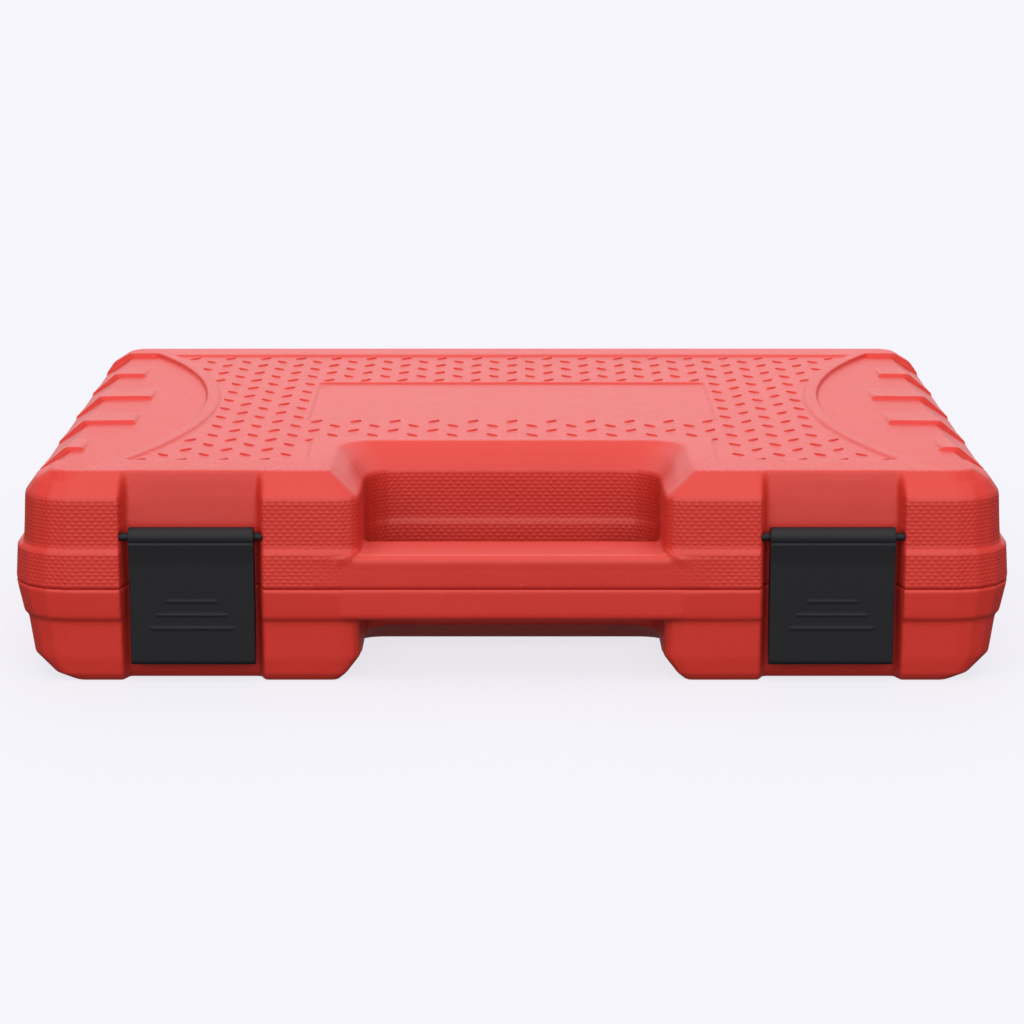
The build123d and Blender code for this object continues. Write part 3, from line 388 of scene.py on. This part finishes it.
def evaluated(work):
    # the mesh with every modifier applied, in place of the object's own
    graph = bpy.context.evaluated_depsgraph_get()
    mesh = bpy.data.meshes.new_from_object(work.evaluated_get(graph))
    work.modifiers.clear()
    work.data = mesh
    return mesh


# where the lid and base stay crisp: the ribs, the relief on the top and the seam, but not by the hand; mm
reliefSpec = {
    "ribs": {"outside": 174.0, "above": 70.0, "halfLength": 122.0},
    "top": {"above": 78.2, "half": 173.0, "front": -136.0, "rear": 130.0},
    "seam": {"z": 37.6, "reach": 2.5},
    "hand": {"half": 76.0, "rear": -78.0},
}


def isRelief(points, spec):
    across, y, z = np.abs(points[:, 0]), points[:, 1], points[:, 2]
    ribs, top, seam, hand = spec["ribs"], spec["top"], spec["seam"], spec["hand"]
    onRibs = (across > ribs["outside"]) & (z > ribs["above"]) & (np.abs(y) < ribs["halfLength"])
    onTop = (z > top["above"]) & (across < top["half"]) & (y > top["front"]) & (y < top["rear"])
    atSeam = np.abs(z - seam["z"]) < seam["reach"]
    return (onRibs | onTop | atSeam) & ~((across < hand["half"]) & (y < hand["rear"]))


def easedMesh(node, spec):
    work = bpy.data.objects.new("work", frame["nodes"][node].data.copy())
    bpy.context.scene.collection.objects.link(work)
    remesh = work.modifiers.new("remesh", "REMESH")
    remesh.mode = "VOXEL"
    remesh.voxel_size = spec["voxel"] * mm * 1.0
    mesh = evaluated(work)
    smooth = work.modifiers.new("ease", "SMOOTH")
    smooth.factor = 0.5
    smooth.iterations = max(spec["ease"] // (1), 1)
    if "reliefEase" in spec:
        relief = isRelief(meshPoints(mesh), reliefSpec)
        group = work.vertex_groups.new(name="ease")
        group.add(np.flatnonzero(~relief).tolist(), 1.0, "REPLACE")
        group.add(np.flatnonzero(relief).tolist(), spec["reliefEase"], "REPLACE")
        smooth.vertex_group = group.name
    count = len(mesh.polygons) * 2
    if count > spec["faces"]:
        decimate = work.modifiers.new("thin", "DECIMATE")
        decimate.ratio = spec["faces"] / count
    mesh = evaluated(work)
    bpy.data.objects.remove(work)
    mesh.shade_smooth()
    print(node, "remeshed,", count, "faces before thinning,", len(mesh.polygons), "after")
    return mesh


materialOf = {"lid_shell": wallRed, "base_shell": wallRed, "lid_liner": innerRed, "base_tray": innerRed,
              "latch_left": latchBlack, "latch_right": latchBlack}
bodyOf = {node: body for body, nodes in frame["record"]["behaviour"]["bodies"].items() for node in nodes}
for node, spec in shellSpecs.items():
    mesh = easedMesh(node, spec)
    if node == "lid_shell":
        points = meshPoints(mesh)
        points[:, 2] += crown(points)
        crispBar(points, barSpec)
        mesh.vertices.foreach_set("co", (points * mm).ravel())
        mesh.update()
    newPiece(spec["name"], mesh, materialOf[node], bodyOf[node], (node,))
print("shells made")


# short raised strokes lean left and right by turns, in rows between the two side rings
strokeSpec = {
    "pitchX": 16.2, "pitchY": 18.87, "firstY": -116.84, "rows": 26, "columns": 13,
    "length": 6.4, "width": 1.9, "rise": 0.65, "lean": 43.0, "corners": 12, "blunt": 0.35,
    "profile": ((1.0, -1.3), (0.97, 0.05), (0.80, 0.62), (0.45, 0.95)),   # share of the outline, of the rise
    "fieldZ": 81.0,
    "ringCentre": 386.7, "ringRadius": 261.4, "planMid": -7.0, "ringMargin": 2.5,
    "panel": (-88.0, 88.0, -40.0, 49.0), "handHalf": 82.0, "handY": -80.5,
    "low": -118.0, "high": 113.5,
}


def strokeAllowed(x, y, spec):
    ring = math.hypot(abs(x) - spec["ringCentre"], y - spec["planMid"])
    if ring < spec["ringRadius"] + spec["ringMargin"] or not spec["low"] < y < spec["high"]:
        return False
    x0, x1, y0, y1 = spec["panel"]
    if x0 < x < x1 and y0 < y < y1:
        return False
    return not (abs(x) < spec["handHalf"] and y < spec["handY"])


def addStroke(mesh, x, y, lean, spec):
    # a low rounded ridge: rings of points that shrink from the buried foot to the crest
    half, wide, rise = spec["length"] / 2, spec["width"] / 2, spec["rise"]
    turn = Matrix.Rotation(math.radians(lean), 3, "Z")
    base = Vector((x, y, spec["fieldZ"] + crown(np.array([[x, y, spec["fieldZ"]]]))[0]))
    rings = []
    corners = spec["corners"]
    for share, up in spec["profile"]:
        ring = []
        for i in range(corners):
            angle = 2 * math.pi * i / corners
            along = half * math.cos(angle) * (spec["blunt"] + (1 - spec["blunt"]) * share)
            side = wide * math.sin(angle) * share
            local = turn @ Vector((along, side, 0))
            ring.append(mesh.verts.new((base + local + Vector((0, 0, up * rise))) * mm))
        rings.append(ring)
    for lower, upper in zip(rings, rings[1:]):
        for i in range(corners):
            j = (i + 1) % corners
            mesh.faces.new((lower[i], lower[j], upper[j], upper[i]))
    mesh.faces.new(rings[-1])
    mesh.faces.new(reversed(rings[0]))


def makeStrokes(spec):
    build = bmesh.new()
    count = 0
    for row in range(spec["rows"]):
        y = spec["firstY"] + row * spec["pitchY"] / 2
        leansRight = row % 2 == 0
        offset = 0.0 if leansRight else 0.5
        for i in range(-spec["columns"], spec["columns"] + 1):
            x = (i + offset) * spec["pitchX"]
            if strokeAllowed(x, y, spec):
                addStroke(build, x, y, spec["lean"] if leansRight else -spec["lean"], spec)
                count += 1
    mesh = bpy.data.meshes.new("lidStrokes")
    build.to_mesh(mesh)
    build.free()
    mesh.shade_smooth()
    newPiece("lidStrokes", mesh, innerRed, "lid")
    print(count, "raised strokes")


makeStrokes(strokeSpec)


# a pale sweep under and behind the case
floorSpec = {"colour": "#F4F3F9", "size": 24.0, "lit": 0.16, "roughness": 0.9}


def makeFloor(spec):
    mesh = bpy.data.meshes.new("floor")
    half = spec["size"] / 2
    corners = [(-half, -half, 0), (half, -half, 0), (half, half, 0), (-half, half, 0)]
    mesh.from_pydata(corners, [], [(0, 1, 2, 3)])
    floor = bpy.data.objects.new("floor", mesh)
    bpy.context.scene.collection.objects.link(floor)
    material, tree, shader = startMaterial("paleSweep")
    # mostly its own even glow, like a back-lit sweep, so the case throws only a faint shadow on it
    tone = fromHex(spec["colour"])
    shader.inputs["Base Color"].default_value = tuple(spec["lit"] * c for c in tone[:3]) + (1,)
    shader.inputs["Emission Color"].default_value = tone
    shader.inputs["Emission Strength"].default_value = 1 - spec["lit"]
    shader.inputs["Roughness"].default_value = spec["roughness"]
    shader.inputs["Specular IOR Level"].default_value = 0.0
    mesh.materials.append(material)
    floor.visible_diffuse = False      # so that the glowing floor throws no light up under the case
    floor.visible_glossy = False


makeFloor(floorSpec)

# two broad soft suns stand for soft boxes in front of and behind the case; the world is pale above,
# dim below the floor, and has a wide soft glow low behind the case, which the flat top mirrors
lightSpec = {
    "suns": {
        "frontSoftBox": {"energy": 2.35, "spread": 85.0, "lean": 47.0, "turn": -4.0},
        "rearSoftBox": {"energy": 0.9, "spread": 60.0, "lean": -30.0, "turn": 0.0},
    },
    "above": 0.36, "below": 0.10, "horizon": (-0.12, 0.05), "worldColour": "#F8F8FC",
    "glow": 1.0, "glowToward": (0.0, 0.966, 0.26), "glowFrom": 0.78, "glowFull": 0.98,
}


def makeLights(spec):
    for name, box in spec["suns"].items():
        data = bpy.data.lights.new(name, "SUN")
        data.energy = box["energy"]
        data.angle = math.radians(box["spread"])
        sun = bpy.data.objects.new(name, data)
        sun.rotation_euler = (math.radians(box["lean"]), math.radians(box["turn"]), 0)
        bpy.context.scene.collection.objects.link(sun)
    world = bpy.data.worlds.new("studio")
    world.use_nodes = True
    tree = world.node_tree
    background = tree.nodes["Background"]
    toward = addNode(tree, "TexCoord", {}).outputs["Generated"]
    up = addNode(tree, "SeparateXYZ", {}, toward).outputs[2]
    low, high = spec["horizon"]
    fade = addNode(tree, "MapRange", {}, up, From_Min=low, From_Max=high,
                   To_Min=spec["below"], To_Max=spec["above"])
    facing = addNode(tree, "VectorMath", {"operation": "DOT_PRODUCT"}, toward, spec["glowToward"])
    glow = addNode(tree, "MapRange", {"interpolation_type": "SMOOTHSTEP"}, facing.outputs["Value"],
                   From_Min=spec["glowFrom"], From_Max=spec["glowFull"], To_Min=0.0, To_Max=spec["glow"])
    total = addNode(tree, "Math", plus, fade, glow)
    tree.links.new(total.outputs[0], background.inputs[1])
    background.inputs[0].default_value = fromHex(spec["worldColour"])
    bpy.context.scene.world = world


makeLights(lightSpec)
print("floor and lights made")
